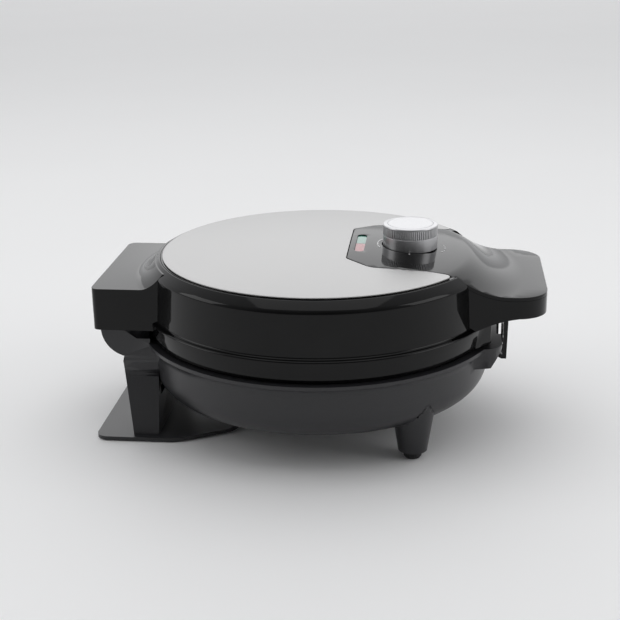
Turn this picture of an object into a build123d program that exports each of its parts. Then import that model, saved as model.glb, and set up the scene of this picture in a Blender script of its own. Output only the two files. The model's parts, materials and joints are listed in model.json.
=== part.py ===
"""Countertop ring-cake cooker: round hinged lid, seven ring moulds, dial, latch and rear stand.

Millimetres, +Z up. The lid hinge is at the back (+Y) and the handle at the front (-Y).
The floor is z = 0, and the box around the whole cooker is centred on X = Y = 0.
"""
from math import cos, radians, sin, sqrt
import os

from build123d import *

# Overall form
rim_radius = 135.0
rear_reach = rim_radius + 27.5
front_reach = rim_radius + 33.5
body_y = (front_reach - rear_reach) / 2
rim_top_z = 72.0
lid_gap = 1.8
band_height = 15.4
wall_height = 33.4
shoulder_height = 7.4
crown_height = 6.0

# Base
wall = 2.5
rim_overhang = 4.0
rim_thickness = 2.6
bowl_radius = rim_radius - rim_overhang
bowl_bottom_z = 26.5
bowl_foot_radius = bowl_radius - 4.0
bowl_corner_radius = 22.0
lip_half_width = 50.0
lip_reach = rim_radius + 2.8
lip_height = 15.0
lip_corner_radius = 14.0
lip_notch_depth = 3.4
lip_edge_height = 2.6
vent_count = 8
vent_length = 26.0
vent_width = 3.4
vent_pitch_radius = 62.0

# Rear stand
tower_front = rim_radius - 20.0
tower_foot_rear = rim_radius - 1.0
tower_neck_rear = rim_radius + 6.8
tower_neck_z = 57.5
tower_foot_half_width = 69.5
tower_flare_z = 54.0
tower_flare_rounding = 70.0
hinge_y = rim_radius
hinge_z = 83.0
barrel_radius = 22.3
side_gap = 0.7
eye_radius = 6.5
tower_wall = 3.0
cheek_inner = 45.0
cheek_clearance = 1.0
cheek_recess = 1.2
cheek_recess_front = tower_front + 2.0
cheek_recess_rear = hinge_y + 1.0
cheek_recess_height = 7.5
cheek_recess_slope = 5.5
arm_slot_inner = 32.0
arm_slot_outer = 41.6
arm_gap = 0.4
pin_radius = 3.5
pin_inner_x = 33.0
pin_outer_x = 55.0
gland_z = 22.0
gland_radius = 7.0
gland_flange_radius = 9.5
gland_flange = 3.2
gland_bore = 3.6

# Foot plate and legs
foot_plate_thickness = 2.6
foot_plate_half_width = 76.0
foot_plate_rear = rear_reach - 0.5
foot_plate_front = rim_radius - 77.0
foot_plate_taper_y = rim_radius - 35.0
foot_plate_front_half_width = 52.0
foot_plate_corner = 9.0
pad_height = 1.0
pad_radius = 7.0
pad_recess = 0.8
pad_rear_x = foot_plate_half_width - 16.0
pad_rear_y = foot_plate_rear - 14.0
pad_front_x = foot_plate_front_half_width
pad_front_y = foot_plate_taper_y - 16.0
foot_screw_x = 40.0
foot_screw_y = tower_front + 11.0
leg_x = rim_radius - 51.0
leg_y = 60.5 - rim_radius
leg_top_radius = 16.5
leg_foot_radius = 10.5
leg_tip_radius = 6.6
leg_tip_height = 6.0
leg_top_z = 45.0

# Lid
band_bottom_radius = rim_radius - 4.0
band_top_radius = rim_radius - 2.0
wall_foot_radius = band_top_radius - 3.8
wall_top_radius = wall_foot_radius - 1.6
groove_width = 1.4
plate_radius = wall_top_radius - 9.2
trim_thickness = 0.8
plate_tip_radius = 4.0
deck_thickness = 2.4
deck_drop = 1.0
lid_wall = 2.6
lid_edge_radius = 1.4
wall_foot_chamfer = 1.2

# Hinge block and handle
block_half_width = 62.0
block_top_z = 114.5
block_bottom_z = hinge_z
block_corner_radius = 6.0
block_sweep_radius = rim_radius + 5.0
block_wall = 3.1
relief_height = 12.0
handle_half_width = 62.0
handle_corner_radius = 0.6866 * (front_reach - rim_radius)
handle_bottom_z = 98.6
handle_arch_start = rim_radius + 13.0
handle_arch_end = rim_radius - 18.0
handle_arch_end_z = 88.0
handle_flat_radius = rim_radius + 19.0
handle_wall = 2.8
handle_cover_thickness = 2.0
fit_gap = 0.3

# Control panel
panel_thickness = 2.6
island_end = 24.0
island_end_half_width = 40.0
island_half_width = 57.5
island_waist_y = 84.0
island_gap = 0.5

# Dial and lamps
knob_y = -68.6
knob_radius = 20.4
knob_height = 18.1
knob_gap = 0.5
knob_land_drop = 1.3
knob_land_gap = 0.9
knob_grip_height = 8.2
knob_rib_count = 80
knob_rib_depth = 0.9
shaft_radius = 3.0
shaft_hole_radius = 4.2
running_gap = 0.05
thermostat_size = (34.0, 28.0, 18.0)
thermostat_drop = 4.0
lamp_y = -31.5
lamp_width = 7.2
lamp_length = 46.0
lamp_recess = 0.8
scale_radius = 24.5
scale_band = 0.9
scale_height = 0.15
scale_dot_radius = 0.7
scale_dot_gap = 2.6
scale_dash = 1.8
scale_mark_turns = (-24, -14, -4, 6, 16)

# Latch
latch_half_width = 18.0
latch_outer_y = lip_reach + 5.6
latch_thickness = 3.8
latch_pin_z = 103.6
latch_bottom_z = rim_top_z - lip_height - 5.2
latch_toe_y = lip_reach - lip_notch_depth + 0.35
latch_toe_top = rim_top_z - lip_height - 1.2
latch_eye_radius = 4.4
latch_pin_radius = 1.6
latch_window = (13.0, 9.0)
lug_gap = 0.2
lug_thickness = 4.2
lug_reach = 5.0
boss_front = band_bottom_radius - 1.5
boss_front_half_width = 45.0
boss_back_half_width = 58.0

# Cook plates, elements and reflectors
cook_radius = rim_radius - 11.0
cook_thickness = 3.0
cook_gap = 0.6
mould_ring_radius = 21.0
mould_depth = 12.0
mould_wall = 2.4
mould_pitch = cook_radius - 48.0
mould_count = 6
element_radius = 3.3
element_gap = 0.4
reflector_radius = cook_radius - 5.0
reflector_thickness = 0.8
reflector_gap = 3.0
post_pitch = cook_radius - 15.0
post_radius = 5.0
post_count = 3
screw_radius = 1.8
screw_head_radius = 3.6
screw_head_height = 2.2
fuse_y = 52.0
fuse_radius = 3.0
fuse_half_length = 9.0
fuse_lead_radius = 0.8
fuse_lead_half_length = 16.0
terminal_half_width = 16.0
terminal_height = 11.0
terminal_pitch = 10.0
terminal_bore = 2.4
strap_half_depth = 9.0
strap_thickness = 1.2
strap_foot = 5.0
holder_margin = 3.0
holder_wall = 1.6
holder_depth = 9.0
lens_depth = 5.0

# Derived levels
band_bottom_z = rim_top_z + lid_gap
ledge_z = band_bottom_z + band_height
wall_top_z = ledge_z + wall_height
plate_edge_z = wall_top_z + shoulder_height
apex_z = plate_edge_z + crown_height
shoulder_top_radius = plate_radius + groove_width
lower_cook_z = rim_top_z
upper_cook_z = lower_cook_z + cook_gap
inner_deck_z = plate_edge_z - deck_drop - deck_thickness
thermostat_top = inner_deck_z - thermostat_drop
latch_pin_y = -latch_outer_y + latch_thickness / 2 + 0.6
foot_top = pad_height + foot_plate_thickness
foot_pad_places = [(side * x, y) for x, y in ((pad_rear_x, pad_rear_y), (pad_front_x, pad_front_y))
                   for side in (-1, 1)]
foot_screw_places = [(side * foot_screw_x, foot_screw_y) for side in (-1, 1)]
gland_seat_y = tower_foot_rear + (tower_neck_rear - tower_foot_rear) * (
    (gland_z + gland_flange_radius - foot_top) / (tower_neck_z - foot_top))
block_inner_half = block_half_width - block_wall
tower_half_width = block_inner_half - side_gap


def crown_z(radius, level=0.0):
    """Height of the domed top at a distance from the centre, level above the trim's surface."""
    return apex_z - crown_height * (radius / plate_radius) ** 2 + level


def place(shape):
    """Move a shape from the round body's axis to the part's frame."""
    return Pos(0, body_y, 0) * shape


def face_of(points, radii=0):
    """Closed outline of straight runs, with a rounding at each corner that has a radius."""
    if radii == 0:
        return make_face(Polyline(*points, close=True))
    return make_face(FilletPolyline(*points, radius=radii, close=True))


def turned(points, radii=0):
    """Solid of revolution about Z from an outline of (radius, height) points."""
    return revolve(Plane.XZ * face_of(points, radii), Axis.Z)


def slab(points, low, high, radii=0):
    """Upright prism from a plan outline of (x, y) points."""
    return Pos(0, 0, low) * extrude(face_of(points, radii), high - low)


def side_prism(outline, x_low, x_high):
    """Prism along X from a face drawn in (y, z)."""
    return Pos(x_low, 0, 0) * extrude(Plane.YZ * outline, x_high - x_low)


def rod(radius, low, high, x=0.0, y=0.0):
    """Upright cylinder between two heights."""
    return Pos(x, y, low) * extrude(Circle(radius), high - low)


def cross_rod(radius, x_low, x_high, y, z):
    """Cylinder along X."""
    return Pos(x_low, y, z) * extrude(Plane.YZ * Circle(radius), x_high - x_low)


def box(x_low, x_high, y_low, y_high, z_low, z_high):
    """Box between two corners."""
    size = (x_high - x_low, y_high - y_low, z_high - z_low)
    middle = ((x_low + x_high) / 2, (y_low + y_high) / 2, (z_low + z_high) / 2)
    return Pos(*middle) * Box(*size)


def both_sides(shape):
    """A shape and its mirror image across X = 0."""
    return shape + mirror(shape, Plane.YZ)


def ring_places(count, radius, first=0.0):
    """Places evenly round the body axis."""
    for index in range(count):
        angle = radians(first + 360.0 * index / count)
        yield radius * cos(angle), radius * sin(angle)


# Plan outlines shared by the lid pieces
def handle_plan(inset=0.0, back=60.0):
    """Handle outline seen from above, drawn in by an inset, with its back inside the lid."""
    half = handle_half_width - inset
    front = -(front_reach - inset)
    corner = handle_corner_radius - inset
    points = [(-half, -back), (-half, front), (half, front), (half, -back)]
    return points, [0, corner, corner, 0]


def island_plan(grow=0.0):
    """Control island outline, which widens into the handle."""
    end = -island_end + grow
    waist = island_half_width + grow
    tip = island_end_half_width + grow
    handle = handle_half_width + grow
    shoulder_y = -island_end - (island_half_width - island_end_half_width)
    half = [(tip, end), (waist, shoulder_y), (waist, -island_waist_y), (handle, -rim_radius * 0.75)]
    right = half + [(handle, -front_reach - 10)]
    left = [(-x, y) for x, y in reversed(right)]
    return right + left, [6, 14, 30, 20, 0, 0, 20, 30, 14, 6]


def block_plan(inset=0.0, front=60.0):
    """Hinge block outline seen from above."""
    half = block_half_width - inset
    rear = rear_reach - inset
    corner = block_corner_radius - min(inset, block_corner_radius - 1)
    points = [(-half, front), (half, front), (half, rear), (-half, rear)]
    return points, [0, 0, corner, corner]


def dome(level, radius):
    """Solid under the domed top, out to a radius."""
    sphere_radius = (plate_radius ** 2 + crown_height ** 2) / (2 * crown_height)
    ball = Pos(0, 0, apex_z + level - sphere_radius) * Rot(90, 0, 0) * Sphere(sphere_radius)
    return rod(radius, 0, apex_z + 10) & ball


def top_profile(level, outer):
    """Turned solid whose top is the domed deck and the sweep down to the handle, down to z = 0."""
    knee = plate_radius - 6.4
    flat = (handle_flat_radius, block_top_z + level)
    middle = ((knee + handle_flat_radius) / 2 - 4, (crown_z(knee) + block_top_z) / 2 - 0.6 + level)
    sweep = Spline((knee, crown_z(knee, level)), middle, flat, tangents=((1, -0.1), (1, 0)))
    run = Polyline(flat, (outer, block_top_z + level), (outer, 0), (knee, 0), (knee, crown_z(knee, level)))
    return revolve(Plane.XZ * make_face(sweep + run), Axis.Z) + dome(level, knee)


def mould_rings(z, down):
    """Seven ring moulds in a disc: the solid that is added and the space that is cut."""
    added = []
    cut = []
    places = [(0.0, 0.0)] + list(ring_places(mould_count, mould_pitch))
    for x, y in places:
        ring = Torus(mould_ring_radius, mould_depth + mould_wall)
        added.append(Pos(x, y, z) * ring)
        cut.append(Pos(x, y, z) * Torus(mould_ring_radius, mould_depth))
    keep_low, keep_high = (z - 40, z) if down else (z, z + 40)
    keep = rod(cook_radius, keep_low, keep_high)
    return [shape & keep for shape in added], cut


def cook_plate(z, down):
    """Cast plate with its flat face at z and its moulds hanging down or standing up."""
    low, high = (z - cook_thickness, z) if down else (z, z + cook_thickness)
    added, cut = mould_rings(z, down)
    plate = rod(cook_radius, low, high) + added
    bead = rod(cook_radius, low, high) - rod(cook_radius - 3.0, low, high)
    side = -1 if down else 1
    plate = plate + Pos(0, 0, side * 2.0) * bead
    for x, y in ring_places(post_count, post_pitch, 30.0):
        level = low - 4.0 if down else high
        stub = rod(post_radius, level, level + 4.0, x, y)
        plate = plate + stub - rod(screw_radius, level, level + 4.0, x, y)
        if not down:
            plate = plate - rod(screw_radius, low - 1, high + 1, x, y)
            plate = plate - rod(screw_head_radius + 0.2, low - 1, low + screw_head_height + 0.1, x, y)
    return plate - cut


# Base
def bowl_solid(grow, top):
    """Turned bowl, grown or shrunk by an offset, up to a height."""
    floor = bowl_bottom_z - grow
    return turned([(0, floor), (bowl_foot_radius + grow, floor), (bowl_radius + grow, rim_top_z),
                   (bowl_radius + grow, top), (0, top)],
                  [0, bowl_corner_radius + grow, 0, 0, 0])


def base_bowl():
    """Bowl, rim, front lip and rear stand in one moulding."""
    rim = rod(rim_radius, rim_top_z - rim_thickness, rim_top_z)
    outside = bowl_solid(0, rim_top_z + 0.5) & rod(rim_radius, 0, rim_top_z)
    shell = outside + rim + stand() + lip() - bowl_solid(-wall, rim_top_z + 1) - stand_hollow()
    for x, y in ring_places(post_count, post_pitch, 30.0):
        post = rod(post_radius, bowl_bottom_z + wall - 1, lower_cook_z - cook_thickness - 4.0, x, y)
        shell = shell + post - rod(screw_radius, 0, lower_cook_z - cook_thickness - 4.0, x, y)
        shell = shell - rod(screw_head_radius + fit_gap, 0, bowl_bottom_z + screw_head_height, x, y)
    for x, y in ring_places(vent_count, vent_pitch_radius, 22.5):
        slot = Pos(x, y, bowl_bottom_z - 1) * extrude(SlotOverall(vent_length, vent_width), wall + 2)
        shell = shell - slot
    for side in (-1, 1):
        shell = shell - leg_socket(side)
    return shell


def stand_front_view():
    """Prism along Y with the stand's outline seen from behind: upright above, flared to the foot."""
    top = hinge_z + barrel_radius
    right = [(tower_foot_half_width, foot_top), (tower_half_width, tower_flare_z), (tower_half_width, top)]
    left = [(-x, z) for x, z in reversed(right)]
    outline = face_of(right + left, [0, tower_flare_rounding, 0, 0, tower_flare_rounding, 0])
    return Pos(0, 200, 0) * extrude(Plane.XZ * outline, 200)


def stand():
    """Rear stand outline: column, round hinge barrel and flat deck at rim height."""
    neck = sqrt(barrel_radius ** 2 - (tower_neck_rear - hinge_y - 1.0) ** 2)
    column = [
        (tower_front, foot_top), (tower_foot_rear, foot_top), (tower_neck_rear, tower_neck_z),
        (tower_neck_rear - 1.0, hinge_z - neck), (hinge_y + 2.0, hinge_z), (hinge_y - 4.6, rim_top_z),
        (tower_front, rim_top_z),
    ]
    barrel = Pos(hinge_y, hinge_z) * Circle(barrel_radius)
    lower = Pos(hinge_y + barrel_radius / 2 + 1.0, hinge_z - barrel_radius / 2) * Rectangle(
        barrel_radius + 4.0, barrel_radius)
    outline = make_face(Polyline(*column, close=True)) + (barrel & lower)
    body = side_prism(outline, -tower_foot_half_width, tower_foot_half_width) & stand_front_view()
    eyes = both_sides(cross_rod(eye_radius, arm_slot_outer, tower_half_width, hinge_y, hinge_z))
    body = body + eyes
    slot = cross_rod(eye_radius + 3.0, arm_slot_inner, arm_slot_outer, hinge_y, hinge_z)
    slot = slot + box(arm_slot_inner, arm_slot_outer, hinge_y - 9.5, hinge_y, hinge_z - 9.0, hinge_z + 9)
    body = body - both_sides(slot)
    middle = cross_rod(eye_radius + 0.6, -arm_slot_inner - 0.1, arm_slot_inner + 0.1, hinge_y, hinge_z)
    return body - middle


def stand_hollow():
    """Wiring space inside the column, open to the bowl."""
    half = tower_half_width - tower_wall
    top = rim_top_z - tower_wall
    points = [
        (tower_front + tower_wall, foot_top + tower_wall),
        (tower_foot_rear - tower_wall, foot_top + tower_wall),
        (tower_neck_rear - tower_wall, tower_neck_z), (hinge_y + 1.0, top), (tower_front - 20, top),
        (tower_front - 20, bowl_bottom_z + bowl_corner_radius + 6), (tower_front + tower_wall, bowl_bottom_z),
    ]
    hollow = side_prism(face_of(points), -half, half)
    for x, y in foot_screw_places:
        hollow = hollow + rod(screw_radius, 0, foot_top + tower_wall + 1, x, y)
    return hollow


def lip():
    """Front lip that the latch hooks under, notched for the latch."""
    low = rim_top_z - lip_height
    points = [(-lip_half_width - 12, -95), (-lip_half_width, -lip_reach), (lip_half_width, -lip_reach),
              (lip_half_width + 12, -95)]
    tongue = slab(points, low, rim_top_z, [0, lip_corner_radius, lip_corner_radius, 0])
    notch_half = latch_half_width + 1.4
    notch = box(-notch_half, notch_half, -lip_reach - 5, -lip_reach + lip_notch_depth, low - 1,
                rim_top_z + 1)
    slope = [(-lip_reach - 1, low - 1), (-lip_reach - 1, rim_top_z - lip_edge_height),
             (-lip_reach, rim_top_z - lip_edge_height), (-bowl_radius + 2, low - 1)]
    under = side_prism(face_of(slope), notch_half + 3.0, lip_half_width + 20)
    return tongue - notch - both_sides(under)


def leg_socket(side):
    """Hole for a leg's screw."""
    return rod(screw_radius, 0, rim_top_z - 20, side * leg_x, leg_y)


def tower_cheeks(shell):
    """Side cheeks from the rim up to the hinge block, a shallow pocket in each, and the pin bores."""
    cheek = box(cheek_inner, tower_half_width, tower_front, hinge_y + 2.0, rim_top_z - 4.0, hinge_z)
    cheek = cheek - rod(band_top_radius + cheek_clearance, rim_top_z, hinge_z + 1)
    cheek = cheek - rod(bowl_radius, 0, rim_top_z)
    low = hinge_z - cheek_recess_height
    points = [(cheek_recess_front, low), (cheek_recess_rear - cheek_recess_slope, low),
              (cheek_recess_rear, hinge_z), (cheek_recess_rear, hinge_z + 1),
              (cheek_recess_front, hinge_z + 1)]
    pocket = side_prism(face_of(points), tower_half_width - cheek_recess, tower_half_width + 1)
    bore = cross_rod(pin_radius + running_gap, pin_inner_x - 0.2, pin_outer_x + 0.2, hinge_y, hinge_z)
    return shell + both_sides(cheek) - both_sides(pocket) - both_sides(bore)


def gland_hole():
    """Cord inlet through the back of the column."""
    return Pos(0, tower_foot_rear - 8, gland_z) * Rot(-90, 0, 0) * Cylinder(
        gland_radius, 30, align=(Align.CENTER, Align.CENTER, Align.MIN))


def base_shell():
    return tower_cheeks(base_bowl()) - gland_hole()


def cord_gland():
    """Round grommet in the column's back, with a flange outside and inside."""
    start = gland_seat_y - 1.2
    body = Cylinder(gland_radius - 0.1, 9.5, align=(Align.CENTER, Align.CENTER, Align.MIN))
    lead = Cylinder(gland_bore, 30, align=(Align.CENTER, Align.CENTER, Align.CENTER))
    collar = Pos(0, 0, 6.0) * Cylinder(gland_flange_radius, gland_flange, align=(Align.CENTER, Align.CENTER, Align.MIN))
    return Pos(0, start - 3.5, gland_z) * Rot(-90, 0, 0) * (body + collar - lead)


def foot_plate():
    """Flat sheet foot under the column, with a tongue that narrows under the bowl."""
    half = foot_plate_half_width
    front = foot_plate_front_half_width
    points = [(-half, foot_plate_taper_y), (-front, foot_plate_front), (front, foot_plate_front),
              (half, foot_plate_taper_y), (half, foot_plate_rear), (-half, foot_plate_rear)]
    radii = [30, 18, 18, 30, foot_plate_corner, foot_plate_corner]
    plate = slab(points, pad_height, foot_top, radii)
    for x, y in foot_pad_places:
        plate = plate - rod(pad_radius + 0.1, 0, pad_height + pad_recess, x, y)
    for x, y in foot_screw_places:
        plate = plate - rod(screw_radius, 0, foot_top + 1, x, y)
    return plate


def foot_pads():
    return [rod(pad_radius, 0, pad_height + pad_recess, x, y) for x, y in foot_pad_places]


def foot_screws():
    """Two screws that hold the column to the foot plate."""
    screws = []
    for x, y in foot_screw_places:
        head = rod(screw_head_radius, foot_top + tower_wall, foot_top + tower_wall + 2.0, x, y)
        screws.append(head + rod(screw_radius - 0.1, pad_height + 0.3, foot_top + tower_wall, x, y))
    return screws


def leg(side):
    """Tapered leg under the handle side of the bowl, on its bowl-shaped seat."""
    cone = turned([(0, leg_tip_height), (leg_foot_radius, leg_tip_height), (leg_top_radius, leg_top_z),
                   (0, leg_top_z)])
    body = Pos(side * leg_x, leg_y, 0) * cone - bowl_solid(fit_gap / 3, rim_top_z + 1)
    return body - rod(leg_tip_radius - 2.0, 0, leg_tip_height + 6.0, side * leg_x, leg_y)


def leg_tip(side):
    """Soft tip pressed into the leg."""
    tip = turned([(0, 0), (leg_tip_radius - 1.2, 0), (leg_tip_radius, 1.6), (leg_tip_radius, leg_tip_height),
                  (leg_tip_radius - 2.1, leg_tip_height), (leg_tip_radius - 2.1, leg_tip_height + 5.5),
                  (0, leg_tip_height + 5.5)])
    return Pos(side * leg_x, leg_y, 0) * tip


def element(z):
    """Tubular heater: a ring with a gap and two terminal legs toward the hinge."""
    gap_angle = 16.0
    arc = CenterArc((0, 0), mould_pitch, 90 + gap_angle, 360 - 2 * gap_angle)
    section = Plane(arc @ 0, z_dir=arc % 0) * Circle(element_radius)
    ring = sweep(section, path=arc)
    return Pos(0, 0, z) * ring


def reflector(z, down):
    """Sheet dish behind the heater, with a turned edge and clear holes for the posts."""
    edge = 5.0
    low, high = (z, z + reflector_thickness)
    dish = rod(reflector_radius, low, high)
    wall_low, wall_high = (z, z + edge) if down else (z - edge + reflector_thickness, high)
    dish = dish + rod(reflector_radius, wall_low, wall_high) - rod(
        reflector_radius - reflector_thickness, min(low - edge, wall_low) if not down else high,
        wall_high + 1 if down else low)
    for x, y in ring_places(post_count, post_pitch, 30.0):
        dish = dish - rod(post_radius + 0.6, z - 10, z + 10, x, y)
    return dish


lower_element_z = lower_cook_z - mould_depth - mould_wall - element_gap - element_radius
upper_element_z = upper_cook_z + mould_depth + mould_wall + element_gap + element_radius
lower_reflector_z = lower_element_z - element_radius - reflector_gap - reflector_thickness
upper_reflector_z = upper_element_z + element_radius + reflector_gap


def hinge_pin(side):
    low, high = sorted((side * pin_inner_x, side * pin_outer_x))
    return cross_rod(pin_radius, low, high, hinge_y, hinge_z)


# Lid
def lid_outer():
    """Outside of the lid: band, ledge, wall and shoulder."""
    shoulder_points = [(0, band_bottom_z), (band_bottom_radius, band_bottom_z), (band_top_radius, ledge_z),
                       (wall_foot_radius + wall_foot_chamfer, ledge_z + 0.6),
                       (wall_foot_radius, ledge_z + 0.8 + wall_foot_chamfer), (wall_top_radius, wall_top_z),
                       (shoulder_top_radius, plate_edge_z), (0, plate_edge_z)]
    return turned(shoulder_points, [0, 1.0, lid_edge_radius, 0, 0, 5.0, 0.8, 0])


def sweep_ring():
    """Concave ramp from the hinge block's flat top up to the shoulder."""
    start = (block_sweep_radius, block_top_z)
    end = (shoulder_top_radius + 4.5, plate_edge_z - 3.2)
    arc = ThreePointArc(start, (block_sweep_radius - 9.6, block_top_z + 3.6), end)
    rest = Polyline(end, (shoulder_top_radius - 20, plate_edge_z - 3.2), (shoulder_top_radius - 20, 0),
                    (block_sweep_radius + 40, 0), (block_sweep_radius + 40, block_top_z), start)
    return revolve(Plane.XZ * make_face(arc + rest), Axis.Z)


def hinge_block():
    """Square block behind the lid that hides the hinge."""
    points, radii = block_plan()
    return slab(points, block_bottom_z, plate_edge_z, radii) & sweep_ring()


def block_hollow():
    """Inside of the hinge block, open below and relieved at the back for the swing."""
    half = block_inner_half
    rear = rear_reach - block_wall
    space = box(-half, half, rear_reach / 2, rear, block_bottom_z - 1, block_top_z - block_wall)
    relief = box(-half, half, hinge_y, rear_reach + 1, block_bottom_z - 1, block_bottom_z + relief_height)
    return space + relief


def handle_body():
    """Handle under the panel: outline, arched underside, and a hollow closed by a cover."""
    points, radii = handle_plan()
    outer = slab(points, band_bottom_z, apex_z, radii)
    arch = make_face(Polyline((-front_reach - 10, handle_bottom_z), (-handle_arch_start, handle_bottom_z))
                     + ThreePointArc((-handle_arch_start, handle_bottom_z),
                                     (-(handle_arch_start + handle_arch_end) / 2 - 0.5,
                                      (handle_bottom_z + handle_arch_end_z) / 2 + 2.2),
                                     (-handle_arch_end, handle_arch_end_z))
                     + Polyline((-handle_arch_end, handle_arch_end_z), (-90, handle_arch_end_z), (-90, 0),
                                (-front_reach - 10, 0), (-front_reach - 10, handle_bottom_z)))
    body = outer & top_profile(-panel_thickness, 200)
    return body - side_prism(arch, -100, 100)


def handle_hollow():
    points, radii = handle_plan(handle_wall)
    top = block_top_z - panel_thickness - 2.2
    return slab(points, handle_bottom_z - 20, top, radii)


def lid_shell():
    """Gloss lid moulding."""
    inner_top = plate_edge_z - deck_drop - deck_thickness
    hollow = turned([(0, band_bottom_z - 1), (band_bottom_radius - lid_wall, band_bottom_z - 1),
                     (band_top_radius - lid_wall - 0.4, ledge_z - 2.0), (wall_foot_radius - lid_wall, ledge_z),
                     (wall_top_radius - lid_wall, inner_top), (0, inner_top)],
                    [0, 0, 0, 0, 5.0, 0])
    deck = dome(-deck_drop, shoulder_top_radius) & rod(shoulder_top_radius, plate_edge_z - 8, apex_z)
    shell = lid_outer() + deck
    seat = rod(shoulder_top_radius, plate_edge_z - 3, apex_z + 5) - dome(-deck_drop, shoulder_top_radius)
    shell = shell + (hinge_block() - block_hollow()) + (handle_body() - handle_hollow()) - seat
    points, radii = island_plan(island_gap)
    recess = slab(points, 60, apex_z + 10, radii) - top_profile(-panel_thickness - 0.2, 200)
    shell = shell - recess - hollow
    shell = shell + hinge_arms() + latch_boss() + lid_posts()
    shell = shell - rod(shaft_hole_radius, 60, 200, 0, knob_y)
    shell = shell - latch_space()
    return shell - lamp_slot(0.4, 60)


def hinge_arms():
    """Two arms behind the lid wall that turn on the hinge pins."""
    low = arm_slot_inner + arm_gap
    high = arm_slot_outer - arm_gap
    eye = cross_rod(eye_radius, low, high, hinge_y, hinge_z)
    web = box(low, high, 121.0, hinge_y, hinge_z - 3.0, hinge_z + eye_radius)
    inside = turned([(0, 60), (band_top_radius - lid_wall, 60), (wall_foot_radius - 1.0, ledge_z + 1),
                     (wall_foot_radius - 1.0, 120), (0, 120)])
    bore = cross_rod(pin_radius + running_gap, low - 1, high + 1, hinge_y, hinge_z)
    return both_sides(eye + (web - inside)) - both_sides(bore)


def latch_boss():
    """Flared boss between the lid band and the latch."""
    low = band_bottom_z + 0.2
    points = [(-boss_back_half_width, -118), (-boss_front_half_width, -boss_front),
              (boss_front_half_width, -boss_front), (boss_back_half_width, -118)]
    boss = slab(points, low, handle_bottom_z - 2.0, [0, 3, 3, 0])
    return boss - rod(band_bottom_radius - lid_wall + 0.3, 0, 200)


def latch_space():
    """Room for the latch eye inside the handle."""
    half = latch_half_width + 1.0
    return box(-half, half, -latch_outer_y - 5, -latch_outer_y + 9, 90, latch_pin_z + 5.2)


def lid_posts():
    """Posts from the deck down to the upper cook plate, and the dial's mounting pads."""
    posts = []
    for x, y in ring_places(post_count, post_pitch, 30.0):
        foot = upper_cook_z + cook_thickness + 4.0
        post = rod(post_radius, foot, plate_edge_z - 3, x, y) - rod(screw_radius, foot - 1, foot + 14, x, y)
        posts.append(post)
    return posts


def lamp_slot(grow, low):
    """Long round-ended hole for the lamp window."""
    slot = SlotOverall(lamp_length + 2 * grow, lamp_width + 2 * grow)
    return Pos(0, lamp_y, low) * extrude(slot, 200 - low)


def control_panel():
    """Gloss panel: the island in the trim plate and the top of the handle in one piece."""
    points, radii = island_plan()
    outline = slab(points, 60, apex_z + 10, radii)
    handle_points, handle_radii = handle_plan(0.0, 10.0)
    outline = outline & slab(handle_points, 60, apex_z + 10, handle_radii)
    skin = top_profile(0.0, 200) - top_profile(-panel_thickness, 210)
    panel = outline & skin
    panel = panel - rod(shaft_hole_radius, 60, 200, 0, knob_y)
    panel = panel - rod(knob_radius + knob_land_gap, knob_level() - knob_gap, 200, 0, knob_y)
    return panel - lamp_slot(0.0, 60)


def trim_plate():
    """Domed satin plate with a cut-out for the island."""
    points, radii = island_plan(island_gap + 0.3)
    plug = rod(plate_radius, 60, apex_z + 10) - slab(points, 60, apex_z + 10, radii)
    plug = fillet(plug.edges().filter_by(Axis.Z).group_by(Axis.Y)[0], plate_tip_radius)
    cap = dome(0.0, plate_radius + 1) - dome(-trim_thickness, plate_radius + 1)
    return cap & plug


def lamp_lens(front):
    """Half of the lamp window, on its holder."""
    half = lamp_length / 2
    low, high = (0.2, half) if front else (-half, -0.2)
    slot = lamp_slot(-0.2, crown_z(-lamp_y) - lens_depth) & box(low, high, lamp_y - 10, lamp_y + 10, 100, 200)
    return slot & top_profile(-lamp_recess, 200)


def lamp_holder():
    """Tray under the deck with the two neon lamps' seats."""
    top = crown_z(-lamp_y) - lens_depth - 0.2
    low = top - holder_depth
    long, wide = lamp_length / 2, lamp_width / 2 + 1.0
    outer_long, outer_wide = long + holder_margin, wide + holder_margin - 0.6
    tray = box(-outer_long, outer_long, lamp_y - outer_wide, lamp_y + outer_wide, low, inner_deck_z - 0.2)
    return tray - box(-long, long, lamp_y - wide, lamp_y + wide, low + holder_wall, top)


def knob_level():
    return crown_z(abs(knob_y)) - knob_land_drop + knob_gap


def knob_body():
    """Skirt and gripped band of the dial, hollow below."""
    low = knob_level()
    high = low + knob_height
    grip_low = high - knob_grip_height
    body = turned([(0, low), (knob_radius, low), (knob_radius, high), (0, high)], [0, 0.4, 1.0, 0])
    pitch = 360.0 / knob_rib_count
    groove_width = 2 * knob_radius * sin(radians(pitch / 2)) * 0.5
    cuts = []
    for index in range(knob_rib_count):
        groove = Pos(knob_radius, 0) * Rectangle(2 * knob_rib_depth, groove_width)
        cuts.append(Rot(0, 0, index * pitch) * groove)
    grooves = Pos(0, 0, grip_low) * extrude(Sketch() + cuts, knob_grip_height - 1.6)
    body = body - grooves
    body = body - rod(knob_radius - 2.2, low - 1, high - 2.0)
    hub = rod(6.5, low + 1.0, high - 2.0) - rod(shaft_radius + running_gap, low, high - 5.0)
    body = body + hub - rod(knob_radius - 3.4, high - 0.6, high + 1)
    return Pos(0, knob_y, 0) * body


def knob_cap():
    """Thin spun disc let into the dial's top."""
    high = knob_level() + knob_height
    return Pos(0, knob_y, 0) * rod(knob_radius - 3.5, high - 0.55, high + 0.1)


def knob_shaft():
    low = thermostat_top - 1.0
    return rod(shaft_radius, low + 1.2, knob_level() + knob_height - 5.3, 0, knob_y)


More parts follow.
